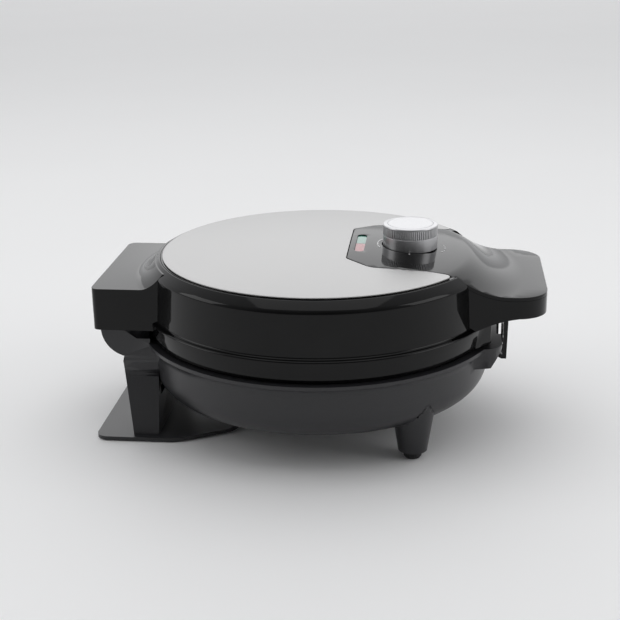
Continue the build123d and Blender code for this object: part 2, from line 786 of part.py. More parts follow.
def thermostat():
    """Thermostat body with its threaded collar under the deck."""
    wide, deep, tall = thermostat_size
    low = thermostat_top - tall
    body = box(-wide / 2, wide / 2, knob_y - deep / 2, knob_y + deep / 2, low, thermostat_top)
    return body


def thermostat_bracket():
    """Steel strap that hangs the thermostat from the deck."""
    wide, deep, tall = thermostat_size
    half = wide / 2 + strap_foot + 4.0
    near, back = knob_y - strap_half_depth, knob_y + strap_half_depth
    low = thermostat_top + 0.1
    strap = box(-half, half, near, back, low, low + strap_thickness)
    foot = box(half - strap_foot, half, near, back, low, inner_deck_z - 0.1)
    strap = strap + both_sides(foot)
    return strap - rod(shaft_radius + 1.0, 60, 200, 0, knob_y)


def dial_scale():
    """Printed arc and marks round the dial, as a thin raised layer on the panel."""
    high = apex_z + 10
    band = rod(scale_radius + scale_band / 2, 100, high) - rod(scale_radius - scale_band / 2, 100, high)
    wedge = slab([(0, 0), (scale_radius, 1.5 * scale_radius), (-0.7 * scale_radius, 1.5 * scale_radius)],
                 100, high)
    marks = [band & wedge, rod(scale_dot_radius, 100, high, -knob_radius - scale_dot_gap, 0)]
    for turn in scale_mark_turns:
        dash = box(-scale_dash / 2, scale_dash / 2, -scale_radius - 2.2, -scale_radius - 1.2, 100, high)
        marks.append(Rot(0, 0, turn) * dash)
    skin = top_profile(scale_height, 200) - top_profile(0.0, 210)
    return [(Pos(0, knob_y, 0) * mark) & skin for mark in marks]


# Latch
def latch_lever():
    """Hook that hangs in the handle, with a window and a toe under the base's lip."""
    outer = -latch_outer_y
    inner = outer + latch_thickness
    toe = -latch_toe_y
    points = [(outer, latch_pin_z), (outer + 1.0, latch_bottom_z), (inner + 1.0, latch_bottom_z),
              (toe, latch_toe_top - 2.0), (toe, latch_toe_top), (inner, latch_toe_top - 0.6),
              (inner, latch_pin_z)]
    plate = side_prism(face_of(points), -latch_half_width, latch_half_width)
    eye = cross_rod(latch_eye_radius, -latch_half_width, latch_half_width, latch_pin_y, latch_pin_z)
    wide, tall = latch_window
    window = box(-wide / 2, wide / 2, -200, -100, latch_pin_z - 8 - tall, latch_pin_z - 8)
    bore = cross_rod(latch_pin_radius + running_gap, -30, 30, latch_pin_y, latch_pin_z)
    return plate + eye - window - bore


def latch_pin():
    reach = latch_half_width + 5.0
    return cross_rod(latch_pin_radius, -reach, reach, latch_pin_y, latch_pin_z)


def handle_cover():
    """Cover that closes the handle from below and carries the latch pin between two lugs."""
    points, radii = handle_plan(handle_wall + fit_gap, boss_front + 4.0)
    plate = slab(points, handle_bottom_z + 0.4, handle_bottom_z + 0.4 + handle_cover_thickness, radii)
    slot_half = latch_half_width + 1.0
    slot = box(-slot_half, slot_half, -latch_outer_y - 5, -latch_outer_y + 9, 90, latch_pin_z + 10)
    lugs = []
    for side in (-1, 1):
        low, high = sorted((side * (slot_half + lug_gap), side * (slot_half + lug_gap + lug_thickness)))
        lug = box(low, high, latch_pin_y - lug_reach, latch_pin_y + lug_reach, handle_bottom_z + 0.4,
                  latch_pin_z + latch_eye_radius - 0.4)
        lugs.append(lug - cross_rod(latch_pin_radius + running_gap, low - 1, high + 1, latch_pin_y, latch_pin_z))
    return plate - slot + lugs


def screws_up(places, seat, length):
    """Screws with their heads below the seat."""
    screws = []
    for x, y in places:
        head = rod(screw_head_radius, seat - screw_head_height, seat, x, y)
        screws.append(head + rod(screw_radius - 0.1, seat, seat + length, x, y))
    return screws


def base_screws():
    seat = bowl_bottom_z + screw_head_height
    return screws_up(ring_places(post_count, post_pitch, 30.0), seat, lower_cook_z - cook_thickness - seat - 0.5)


def lid_screws():
    """Screws that hold the upper cook plate, heads in its flat face."""
    seat = upper_cook_z + screw_head_height + 0.1
    return screws_up(ring_places(post_count, post_pitch, 30.0), seat, 14.0)


def thermal_fuse():
    """Fuse capsule clipped under the lower reflector."""
    z = lower_reflector_z - fuse_radius - 0.4
    body = cross_rod(fuse_radius, -fuse_half_length, fuse_half_length, fuse_y, z)
    return body + cross_rod(fuse_lead_radius, -fuse_lead_half_length, fuse_lead_half_length, fuse_y, z)


def terminal_block():
    """Connector block on the column's floor."""
    low = foot_top + tower_wall
    front = tower_front + 3.5
    rear = front + terminal_height
    body = box(-terminal_half_width, terminal_half_width, front, rear, low + 0.1, low + terminal_height)
    for x in (-terminal_pitch, 0, terminal_pitch):
        body = body - rod(terminal_bore, low + 4, low + 2 * terminal_height, x, (front + rear) / 2)
    return body


def write(name, shape):
    """Write one sub-part, moved to the part's frame."""
    if isinstance(shape, (list, tuple)):
        shape = Compound(children=[solid for item in shape for solid in item.solids()])
    moved = place(shape)
    solids = moved.solids()
    result = solids[0] if len(solids) == 1 else Compound(children=solids)
    export_step(result, f"parts/{name}.step")


os.makedirs("parts", exist_ok=True)
pieces = {
    "base_shell": base_shell,
    "foot_plate": foot_plate,
    "foot_pads": foot_pads,
    "foot_screws": foot_screws,
    "cord_gland": cord_gland,
    "terminal_block": terminal_block,
    "lower_cook_plate": lambda: cook_plate(lower_cook_z, True),
    "lower_element": lambda: element(lower_element_z),
    "lower_reflector": lambda: reflector(lower_reflector_z, True),
    "thermal_fuse": thermal_fuse,
    "base_screws": base_screws,
    "lid_shell": lid_shell,
    "trim_plate": trim_plate,
    "control_panel": control_panel,
    "upper_cook_plate": lambda: cook_plate(upper_cook_z, False),
    "upper_element": lambda: element(upper_element_z),
    "upper_reflector": lambda: reflector(upper_reflector_z, False),
    "lid_screws": lid_screws,
    "lamp_lens_green": lambda: lamp_lens(True),
    "lamp_lens_red": lambda: lamp_lens(False),
    "lamp_holder": lamp_holder,
    "thermostat": thermostat,
    "thermostat_bracket": thermostat_bracket,
    "dial_scale": dial_scale,
    "knob_body": knob_body,
    "knob_cap": knob_cap,
    "knob_shaft": knob_shaft,
    "handle_cover": handle_cover,
    "latch_lever": latch_lever,
    "latch_pin": latch_pin,
}
for name, make in pieces.items():
    write(name, make())
for side, word in ((-1, "left"), (1, "right")):
    write(f"leg_{word}", leg(side))
    write(f"leg_tip_{word}", leg_tip(side))
    write(f"hinge_pin_{word}", hinge_pin(side))
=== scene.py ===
import bpy
import json
import math
from mathutils import Matrix, Vector


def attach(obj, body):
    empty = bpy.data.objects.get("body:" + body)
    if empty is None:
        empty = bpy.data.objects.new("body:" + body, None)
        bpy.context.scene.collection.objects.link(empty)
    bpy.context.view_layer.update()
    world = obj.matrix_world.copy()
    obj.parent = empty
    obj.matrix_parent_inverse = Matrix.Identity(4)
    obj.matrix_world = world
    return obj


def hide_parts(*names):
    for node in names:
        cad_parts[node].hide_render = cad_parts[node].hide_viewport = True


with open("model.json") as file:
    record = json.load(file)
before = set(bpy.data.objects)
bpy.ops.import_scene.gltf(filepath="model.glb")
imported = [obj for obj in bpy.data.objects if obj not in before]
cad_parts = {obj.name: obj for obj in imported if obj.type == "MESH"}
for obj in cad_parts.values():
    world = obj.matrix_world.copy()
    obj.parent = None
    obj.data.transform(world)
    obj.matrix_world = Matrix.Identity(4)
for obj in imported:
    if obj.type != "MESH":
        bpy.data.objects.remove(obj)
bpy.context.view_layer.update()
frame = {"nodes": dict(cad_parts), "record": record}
cad = frame["nodes"]
scene = bpy.context.scene
mm = 0.001
axisY = 3.0  # the round body's axis, in mm along Y
print("frame loaded:", len(cad), "nodes")


# a shader socket that takes plain arithmetic
class Wire:
    def __init__(self, shade, socket):
        self.shade = shade
        self.socket = socket

    def maths(self, operation, *values):
        return self.shade.node("ShaderNodeMath", {"operation": operation}, dict(enumerate(values)))

    def __add__(self, other):
        return self.maths("ADD", self, other)

    def __radd__(self, other):
        return self.maths("ADD", other, self)

    def __sub__(self, other):
        return self.maths("SUBTRACT", self, other)

    def __rsub__(self, other):
        return self.maths("SUBTRACT", other, self)

    def __mul__(self, other):
        return self.maths("MULTIPLY", self, other)

    def __rmul__(self, other):
        return self.maths("MULTIPLY", other, self)

    def __truediv__(self, other):
        return self.maths("DIVIDE", self, other)


# one finish: its Principled shader, and a method that adds any node
class Shade:
    def __init__(self, name, colour, roughness, metallic=0.0, coat=0.0):
        self.material = bpy.data.materials.new(name)
        self.material.use_nodes = True
        self.tree = self.material.node_tree
        self.shader = self.tree.nodes["Principled BSDF"]
        self.set("Base Color", (*colour, 1.0))
        self.set("Roughness", roughness)
        self.set("Metallic", metallic)
        self.set("Coat Weight", coat)
        self.place = self.node("ShaderNodeTexCoord", out="Object")

    def node(self, kind, settings={}, inputs={}, out=0):
        made = self.tree.nodes.new(kind)
        for name, value in settings.items():
            if name == "stops":
                ramp = made.color_ramp.elements
                while len(ramp) < len(value):
                    ramp.new(0.5)
                for element, (where, level) in zip(ramp, value):
                    element.position = where
                    element.color = (level, level, level, 1.0)
            else:
                setattr(made, name, value)
        for key, value in inputs.items():
            if isinstance(value, Wire):
                self.tree.links.new(value.socket, made.inputs[key])
            else:
                made.inputs[key].default_value = value
        return Wire(self, made.outputs[out])

    def set(self, name, value):
        if isinstance(value, Wire):
            self.tree.links.new(value.socket, self.shader.inputs[name])
        else:
            self.shader.inputs[name].default_value = value

    def noise(self, scale, detail=3.0, stretch=(1.0, 1.0, 1.0), rough=0.55):
        where = self.node("ShaderNodeMapping", {}, {"Vector": self.place, "Scale": stretch})
        return self.node("ShaderNodeTexNoise", {}, {"Vector": where, "Scale": scale, "Detail": detail,
                                                    "Roughness": rough})

    def blend(self, factor, low, high):
        return self.node("ShaderNodeMix", {"data_type": "RGBA"}, {"Factor": factor, 6: (*low, 1.0),
                                                                  7: (*high, 1.0)}, out=2)

    def ramp(self, value, low, high):
        return self.node("ShaderNodeMapRange", {}, {"Value": value, "From Min": low, "From Max": high})

    def bump(self, height, strength, distance):
        self.set("Normal", self.node("ShaderNodeBump", {}, {"Height": height, "Strength": strength,
                                                            "Distance": distance}))


# finishes
def glossPlastic(name, dark=0.002, haze=0.07):
    shade = Shade(name, (dark, dark, dark * 1.05), haze)
    shade.set("Specular IOR Level", 0.25)
    peel = shade.noise(170.0, 2.0)
    smear = shade.noise(26.0, 4.0)
    speck = shade.ramp(shade.noise(2600.0, 1.0), 0.70, 0.80)
    shade.set("Base Color", shade.blend(speck * 0.35 + shade.ramp(smear, 0.45, 0.9) * 0.12,
                                        (dark, dark, dark * 1.05), (0.035, 0.035, 0.036)))
    shade.set("Roughness", haze - 0.02 + smear * 0.05 + speck * 0.12)
    shade.bump(peel, 0.05, 0.0002)
    return shade.material


def texturedPlastic(name, colour=(0.017, 0.017, 0.019), roughness=0.31, grain=1500.0, depth=0.14):
    shade = Shade(name, colour, roughness)
    fine = shade.noise(grain, 2.0)
    cloud = shade.noise(30.0, 4.0)
    light = tuple(c * 1.55 + 0.004 for c in colour)
    shade.set("Base Color", shade.blend(shade.ramp(fine, 0.4, 0.75) * 0.5 + cloud * 0.25, colour, light))
    shade.set("Roughness", roughness - 0.06 + fine * 0.1 + cloud * 0.05)
    shade.bump(fine, depth, 0.00012)
    return shade.material


def satinSteel(name, colour=(0.45, 0.448, 0.445)):
    shade = Shade(name, colour, 0.34, 1.0)
    grain = shade.noise(420.0, 3.0, (1.0, 22.0, 22.0))
    hairs = shade.ramp(shade.noise(900.0, 1.0, (1.0, 30.0, 30.0)), 0.55, 0.8)
    cloud = shade.noise(14.0, 3.0)
    darker = tuple(c * 0.86 for c in colour)
    shade.set("Base Color", shade.blend(grain * 0.7 + hairs * 0.2 + cloud * 0.15, darker,
                                        tuple(min(1.0, c * 1.1) for c in colour)))
    shade.set("Roughness", 0.30 + grain * 0.1 + cloud * 0.05)
    shade.bump(grain + hairs * 0.5, 0.12, 0.00006)
    return shade.material


def spunMetal(name, centre, colour=(0.60, 0.60, 0.61)):
    shade = Shade(name, colour, 0.3, 1.0)
    there = shade.node("ShaderNodeMapping", {"vector_type": "POINT"},
                       {"Vector": shade.place, "Location": (-centre[0] * mm, -centre[1] * mm, 0.0)})
    parts = there.shade.node("ShaderNodeSeparateXYZ", {}, {"Vector": there})
    node = parts.socket.node
    x = Wire(shade, node.outputs[0])
    y = Wire(shade, node.outputs[1])
    radius = shade.node("ShaderNodeMath", {"operation": "SQRT"}, {0: x * x + y * y})
    rings = shade.node("ShaderNodeTexNoise", {"noise_dimensions": "1D"},
                       {"W": radius, "Scale": 2600.0, "Detail": 3.0, "Roughness": 0.7})
    shade.set("Base Color", shade.blend(rings, tuple(c * 0.78 for c in colour),
                                        tuple(min(1.0, c * 1.15) for c in colour)))
    shade.set("Roughness", 0.22 + rings * 0.16)
    shade.bump(rings, 0.25, 0.00008)
    return shade.material


def coatedCast(name):
    shade = Shade(name, (0.035, 0.035, 0.038), 0.42)
    pebble = shade.noise(700.0, 3.0)
    fleck = shade.ramp(shade.noise(1500.0, 1.0), 0.66, 0.76)
    shade.set("Base Color", shade.blend(fleck * 0.4 + pebble * 0.2, (0.03, 0.03, 0.033), (0.11, 0.11, 0.12)))
    shade.set("Roughness", 0.34 + pebble * 0.16)
    shade.bump(pebble, 0.25, 0.00015)
    return shade.material


def sheetMetal(name, colour, roughness, tint=(0.4, 0.3, 0.25), tinted=0.0):
    shade = Shade(name, colour, roughness, 1.0)
    grain = shade.noise(300.0, 3.0, (1.0, 14.0, 1.0))
    cloud = shade.noise(28.0, 4.0)
    shade.set("Base Color", shade.blend(cloud * tinted + grain * 0.25, colour, tint))
    shade.set("Roughness", roughness - 0.06 + grain * 0.14)
    shade.bump(grain, 0.1, 0.00005)
    return shade.material


def softRubber(name):
    shade = Shade(name, (0.018, 0.018, 0.018), 0.75)
    fine = shade.noise(900.0, 3.0)
    dust = shade.ramp(shade.noise(60.0, 5.0), 0.5, 0.8)
    shade.set("Base Color", shade.blend(dust * 0.5, (0.016, 0.016, 0.016), (0.05, 0.05, 0.05)))
    shade.set("Roughness", 0.68 + fine * 0.2)
    shade.bump(fine, 0.2, 0.0001)
    return shade.material


def paleMoulding(name, colour, roughness=0.5):
    shade = Shade(name, colour, roughness)
    fine = shade.noise(800.0, 2.0)
    shade.set("Base Color", shade.blend(fine * 0.4, colour, tuple(c * 0.85 for c in colour)))
    shade.set("Roughness", roughness - 0.05 + fine * 0.12)
    shade.bump(fine, 0.12, 0.00008)
    return shade.material


def lampPlastic(name, colour):
    shade = Shade(name, colour, 0.2, 0.0, 0.5)
    cells = shade.node("ShaderNodeTexVoronoi", {}, {"Vector": shade.place, "Scale": 900.0})
    shade.set("Base Color", shade.blend(cells, colour, tuple(c * 0.5 for c in colour)))
    shade.set("Roughness", 0.16 + cells * 0.1)
    shade.bump(cells, 0.2, 0.0001)
    return shade.material


knobPlace = (0.0, -68.6 + axisY)
finish = {
    "gloss_black": glossPlastic("glossBlack"),
    "charcoal": texturedPlastic("charcoalGrain"),
    "satin_steel": satinSteel("satinSteel"),
    "dial_metal": spunMetal("spunDial", knobPlace),
    "cast_coated": coatedCast("coatedCast"),
    "bright_sheet": sheetMetal("brightSheet", (0.72, 0.72, 0.73), 0.3),
    "element_steel": sheetMetal("heatTinted", (0.3, 0.28, 0.26), 0.42, (0.34, 0.2, 0.14), 0.6),
    "bolt_steel": sheetMetal("platedSteel", (0.52, 0.52, 0.54), 0.32),
    "soft_rubber": softRubber("softRubber"),
    "white_print": paleMoulding("paleInk", (0.72, 0.72, 0.72), 0.6),
    "green_lens": lampPlastic("greenLamp", (0.03, 0.30, 0.21)),
    "red_lens": lampPlastic("redLamp", (0.42, 0.015, 0.035)),
    "white_plastic": paleMoulding("whiteMoulding", (0.66, 0.65, 0.62)),
}
print("finishes ready:", len(finish))


# modelling helpers, all sizes in mm
def clearSelection():
    if bpy.context.object and bpy.context.object.mode != "OBJECT":
        bpy.ops.object.mode_set(mode="OBJECT")
    bpy.ops.object.select_all(action="DESELECT")


def makeActive(piece):
    clearSelection()
    piece.select_set(True)
    bpy.context.view_layer.objects.active = piece


def outline(name, points, closed=True):
    # a circle whose corners are pulled to the outline's points
    clearSelection()
    bpy.ops.mesh.primitive_circle_add(vertices=len(points), fill_type="NGON" if closed else "NOTHING")
    piece = bpy.context.object
    piece.name = name
    piece.data.name = name
    for corner, point in zip(piece.data.vertices, points):
        corner.co = Vector(point) * mm
    return piece


def tidyMesh(piece, gap=0.002):
    makeActive(piece)
    bpy.ops.object.mode_set(mode="EDIT")
    bpy.ops.mesh.select_all(action="SELECT")
    bpy.ops.mesh.remove_doubles(threshold=gap * mm)
    bpy.ops.mesh.dissolve_degenerate(threshold=0.001 * mm)
    bpy.ops.mesh.normals_make_consistent(inside=False)
    bpy.ops.object.mode_set(mode="OBJECT")


def prism(name, points, push):
    # an outline in 3-D points, extruded along a vector
    piece = outline(name, points)
    bpy.ops.object.mode_set(mode="EDIT")
    bpy.ops.mesh.select_all(action="SELECT")
    bpy.ops.mesh.extrude_region_move(TRANSFORM_OT_translate={"value": Vector(push) * mm})
    bpy.ops.object.mode_set(mode="OBJECT")
    tidyMesh(piece)
    return piece


def slab(name, plan, low, high):
    return prism(name, [(x, y, low) for x, y in plan], (0, 0, high - low))


def lathe(name, profile, centre=(0.0, 0.0), steps=160):
    # closed (radius, height) profile spun about an upright axis
    points = [(centre[0] + r, centre[1], z) for r, z in profile]
    piece = outline(name, points)
    bpy.ops.object.mode_set(mode="EDIT")
    bpy.ops.mesh.select_all(action="SELECT")
    bpy.ops.mesh.delete(type="ONLY_FACE")
    bpy.ops.mesh.select_all(action="SELECT")
    bpy.ops.mesh.spin(steps=steps, angle=2 * math.pi, axis=(0, 0, 1),
                      center=(centre[0] * mm, centre[1] * mm, 0), use_normal_flip=False)
    bpy.ops.object.mode_set(mode="OBJECT")
    tidyMesh(piece)
    return piece


def rounded(corners, steps=8):
    # corners as (x, y, radius): each sharp corner becomes an arc
    result = []
    count = len(corners)
    for index, (x, y, radius) in enumerate(corners):
        here = Vector((x, y))
        before = Vector(corners[index - 1][:2])
        after = Vector(corners[(index + 1) % count][:2])
        toBack = (before - here).normalized()
        toFront = (after - here).normalized()
        if radius <= 0:
            result.append((x, y))
            continue
        half = math.acos(max(-1.0, min(1.0, toBack.dot(toFront)))) / 2
        reach = radius / math.tan(half)
        middle = here + (toBack + toFront).normalized() * (radius / math.sin(half))
        start = here + toBack * reach - middle
        end = here + toFront * reach - middle
        turn = start.angle_signed(end)
        for step in range(steps + 1):
            spot = middle + Matrix.Rotation(-turn * step / steps, 2) @ start
            result.append((spot.x, spot.y))
    return result


def combine(piece, other, operation):
    makeActive(piece)
    tool = piece.modifiers.new("shape", "BOOLEAN")
    tool.operation = operation
    tool.solver = "EXACT"
    tool.object = other
    bpy.ops.object.modifier_apply(modifier=tool.name)
    bpy.data.objects.remove(other, do_unlink=True)
    return piece


def softEdges(piece, width, angle=32, segments=2):
    makeActive(piece)
    tool = piece.modifiers.new("edges", "BEVEL")
    tool.width = width * mm
    tool.segments = segments
    tool.limit_method = "ANGLE"
    tool.angle_limit = math.radians(angle)
    tool.use_clamp_overlap = True
    tool.miter_outer = "MITER_ARC"
    bpy.ops.object.modifier_apply(modifier=tool.name)


def finishPiece(piece, body, slot, nodes, angle=30):
    # pieces are modelled round the body's axis and then set in the part's frame
    piece.data.transform(Matrix.Translation((0, axisY * mm, 0)))
    piece.data.materials.clear()
    piece.data.materials.append(finish[slot])
    makeActive(piece)
    bpy.ops.object.shade_smooth_by_angle(angle=math.radians(angle))
    if nodes:
        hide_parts(*nodes)
    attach(piece, body)
    clearSelection()


clearSelection()

# heights shared by the lid's pieces
level = dict(band=73.8, ledge=89.2, wallTop=122.6, plateEdge=130.0, apex=136.0)
plateRadius = 118.4
crownRise = 6.0


def crownHeight(radius, drop=0.0):
    ball = (plateRadius ** 2 + crownRise ** 2) / (2 * crownRise)
    return level["apex"] - drop - ball + math.sqrt(ball ** 2 - radius ** 2)


def deckHeight(radius, drop=0.0):
    # dome over the plate, then a soft sweep down to the flat handle top
    knee, waist, flat = 112.0, 129.0, 154.0
    waistHeight, flatHeight = 121.97, 114.5
    if radius <= knee:
        return crownHeight(radius, drop)
    if radius >= flat:
        return flatHeight - drop
    if radius < waist:
        start, end, left, right, slopeIn, slopeOut = knee, waist, crownHeight(knee), waistHeight, -0.1, -0.606
    else:
        start, end, left, right, slopeIn, slopeOut = waist, flat, waistHeight, flatHeight, -0.606, 0.0
    span = end - start
    t = (radius - start) / span
    return (left * (1 + 2 * t) * (1 - t) ** 2 + right * t * t * (3 - 2 * t)
            + span * (slopeIn * t * (1 - t) ** 2 - slopeOut * t * t * (1 - t))) - drop


def deckSolid(name, drop, outer, low, steps=160):
    radii = [plateRadius * i / 16 for i in range(15)] + [112 + 2.0 * i for i in range(22)] + [outer]
    profile = [(r, deckHeight(r, drop)) for r in radii] + [(outer, low), (0.0, low)]
    return lathe(name, profile, steps=steps)


def islandPlan(grow=0.0, reach=-168.5):
    # control island that widens into the handle
    tip, waist, end, handle = 40.0 + grow, 57.5 + grow, -24.0 + grow, 62.0 + grow
    front = reach - grow if grow < 0 else reach
    right = [(tip, end, 6.0), (waist, end - grow - 17.5, 14.0), (waist, -84.0, 30.0), (handle, -101.25, 20.0)]
    corner = 23.0 + grow
    right.append((handle, front + (0 if grow <= 0 else -10), corner if grow <= 0 else 0))
    left = [(-x, y, r) for x, y, r in reversed(right)]
    return rounded(right + left, 10)


hinge = dict(y=135.0, z=83.0, eye=6.5, bore=3.55)
lidFacts = dict(
    bandFoot=131.0, bandTop=133.0, wallFoot=129.2, wallTop=127.6, shoulder=119.8, wallThickness=2.6,
    handleHalf=62.0, handleCorner=23.0, handleReach=168.5, handleBottom=98.6,
    blockHalf=62.0, blockRear=162.5, blockCorner=6.0, blockTop=114.5, blockBottom=83.0,
    blockWall=3.1, relief=12.0, armInner=32.4, armOuter=41.2,
)


def cuboid(name, x, y, z):
    return slab(name, [(x[0], y[0]), (x[1], y[0]), (x[1], y[1]), (x[0], y[1])], *z)


def crossRod(name, radius, x, steps=32):
    # a rod across the part on the hinge line
    ring = [(x[0], hinge["y"] + radius * math.cos(2 * math.pi * i / steps),
             hinge["z"] + radius * math.sin(2 * math.pi * i / steps)) for i in range(steps)]
    return prism(name, ring, (x[1] - x[0], 0, 0))


def addArms(lid, facts):
    # two arms behind the wall that turn on the hinge pins
    depth = (facts["wallFoot"] - 2.2, hinge["y"])
    for side in (-1, 1):
        x = sorted((side * facts["armInner"], side * facts["armOuter"]))
        web = cuboid("web", x, depth, (hinge["z"] - 3.0, hinge["z"] + hinge["eye"]))
        combine(web, crossRod("eye", hinge["eye"], x), "UNION")
        combine(web, crossRod("bore", hinge["bore"], (x[0] - 1, x[1] + 1)), "DIFFERENCE")
        combine(lid, web, "UNION")


def addBoss(lid, facts):
    # flared boss behind the latch, and the latch's room in the handle
    plan = rounded([(-58.0, -118.0, 0), (-45.0, -129.5, 3.0), (45.0, -129.5, 3.0), (58.0, -118.0, 0)])
    boss = slab("boss", plan, level["band"] + 0.2, facts["handleBottom"] - 2.0)
    wall = facts["bandFoot"] - facts["wallThickness"] + 0.3
    core = lathe("bossCore", [(0, 60), (wall, 60), (wall, 120), (0, 120)], steps=200)
    combine(boss, core, "DIFFERENCE")
    combine(lid, boss, "UNION")
    combine(lid, cuboid("latchRoom", (-19.0, 19.0), (-148.4, -134.4), (90.0, 108.8)), "DIFFERENCE")


def buildLid(facts):
    z = level
    outside = rounded([
        (0.0, z["band"], 0), (facts["bandFoot"], z["band"], 1.0), (facts["bandTop"], z["ledge"], 1.6),
        (facts["wallFoot"], z["ledge"] + 0.8, 1.6), (facts["wallTop"], z["wallTop"], 5.0),
        (facts["shoulder"], z["plateEdge"], 0.9), (facts["shoulder"], z["plateEdge"] - 1.2, 0),
        (0.0, z["plateEdge"] - 1.2, 0)], 6)
    lid = lathe("lidShell", outside, steps=200)
    half, rear = facts["blockHalf"], facts["blockRear"]
    plan = rounded([(-half, 60, 0), (half, 60, 0), (half, rear, facts["blockCorner"]),
                    (-half, rear, facts["blockCorner"])], 8)
    block = slab("block", plan, facts["blockBottom"], z["plateEdge"] + 2)
    rise = [(140.0 - 15.7 * t, 114.5 + 12.3 * t ** 1.9) for t in [i / 10 for i in range(11)]]
    ramp = lathe("ramp", [(175.0, facts["blockTop"])] + rise + [(100.0, 126.8), (100.0, 60.0), (175.0, 60.0)],
                 steps=200)
    combine(block, ramp, "INTERSECT")
    inner = half - facts["blockWall"]
    room = cuboid("blockRoom", (-inner, inner), (rear / 2, rear - facts["blockWall"]),
                  (facts["blockBottom"] - 1, facts["blockTop"] - facts["blockWall"]))
    relief = cuboid("relief", (-inner, inner), (hinge["y"], rear + 1),
                    (facts["blockBottom"] - 1.5, facts["blockBottom"] + facts["relief"]))
    combine(block, room, "DIFFERENCE")
    combine(block, relief, "DIFFERENCE")
    combine(lid, block, "UNION")
    half, front = facts["handleHalf"], -facts["handleReach"]
    corner = facts["handleCorner"]
    plan = rounded([(-half, -60, 0), (-half, front, corner), (half, front, corner), (half, -60, 0)], 14)
    handle = slab("handle", plan, z["band"], z["apex"])
    combine(handle, deckSolid("underPanel", 2.6, 200.0, 60.0), "INTERSECT")
    arch = [(-180.0, 98.6), (-148.0, 98.6)]
    arch += [(-148.0 + 31.0 * t, 98.6 - 10.6 * t + 6.5 * t * (1 - t)) for t in [i / 10 for i in range(1, 11)]]
    arch += [(-90.0, 88.0), (-90.0, 40.0), (-180.0, 40.0)]
    combine(handle, prism("arch", [(-100, y, h) for y, h in arch], (200, 0, 0)), "DIFFERENCE")
    combine(lid, handle, "UNION")
    # the lid is a shell: its inside is open to the cook plate
    thick = facts["wallThickness"]
    ceiling = z["plateEdge"] - 3.4
    inside = rounded([
        (0.0, z["band"] - 1, 0), (facts["bandFoot"] - thick, z["band"] - 1, 0),
        (facts["bandTop"] - thick - 0.4, z["ledge"] - 2.0, 0), (facts["wallFoot"] - thick, z["ledge"], 0),
        (facts["wallTop"] - thick, ceiling, 5.0), (0.0, ceiling, 0)], 6)
    combine(lid, lathe("inside", inside, steps=200), "DIFFERENCE")
    addArms(lid, facts)
    addBoss(lid, facts)
    # seat for the steel plate and the pocket for the control panel
    seat = lathe("seat", [(0.0, z["apex"] + 5), (facts["shoulder"], z["apex"] + 5)]
                 + [(facts["shoulder"] * (1 - i / 12), crownHeight(facts["shoulder"] * (1 - i / 12), 1.0))
                    for i in range(13)], steps=200)
    combine(lid, seat, "DIFFERENCE")
    pocket = slab("pocket", islandPlan(0.5), 60.0, z["apex"] + 10)
    combine(pocket, deckSolid("pocketFloor", 2.8, 200.0, 40.0), "DIFFERENCE")
    combine(lid, pocket, "DIFFERENCE")
    softEdges(lid, 0.35, 35)
    return lid


print("modelling the lid")
lidShell = buildLid(lidFacts)
finishPiece(lidShell, "lid", "gloss_black", ["lid_shell"], 28)
print("lid faces:", len(lidShell.data.polygons))


plateFacts = dict(thickness=0.8, gap=0.8, roll=0.36, tip=(62.15, -100.78), tipRadius=4.0,
                  tipReach=7.0)


def platePlan(facts):
    # a disc less the island, with its two tips at the handle rounded
    right = sorted((spot for spot in islandPlan(facts["gap"]) if spot[0] >= 0), key=lambda spot: -spot[1])
    inside = [spot for spot in right if math.hypot(*spot) < plateRadius - facts["tipReach"]]
    tip = facts["tip"]
    first = math.atan2(tip[1], tip[0]) + facts["tipReach"] / plateRadius
    sweep = [first + (math.pi / 2 - first) * i / 60 for i in range(61)]
    arc = [(plateRadius * math.cos(a), plateRadius * math.sin(a), 0) for a in sweep]
    half = [(x, y, 0) for x, y in inside] + [(*tip, facts["tipRadius"])] + arc[:-1]
    mirror = [(-x, y, r) for x, y, r in reversed(half)]
    return rounded(half + [arc[-1]] + mirror, 8)


def buildPlate(facts):
    # domed steel disc with rolled edges, cut out for the island
    wide = plateRadius + 3.0
    radii = [wide * i / 24 for i in range(25)]
    top = [(r, crownHeight(r)) for r in radii]
    low = [(r, crownHeight(r, facts["thickness"])) for r in reversed(radii)]
    plate = lathe("steelPlate", top + low, steps=200)
    combine(plate, slab("plateEdge", platePlan(facts), 60.0, level["apex"] + 10), "INTERSECT")
    softEdges(plate, facts["roll"], 40, 3)
    return plate


steelPlate = buildPlate(plateFacts)
finishPiece(steelPlate, "lid", "satin_steel", ["trim_plate"], 20)

panelFacts = dict(thickness=2.6, knobY=-68.6, wellRadius=21.3, wellDepth=1.3, lampY=-31.5, lampLong=46.0,
                  lampWide=7.2, edge=0.7)


def roundSlot(name, long, wide, y, low, high):
    end = wide / 2 - 0.01
    plan = rounded([(-long / 2, y - wide / 2, end), (long / 2, y - wide / 2, end),
                    (long / 2, y + wide / 2, end), (-long / 2, y + wide / 2, end)], 10)
    return slab(name, plan, low, high)


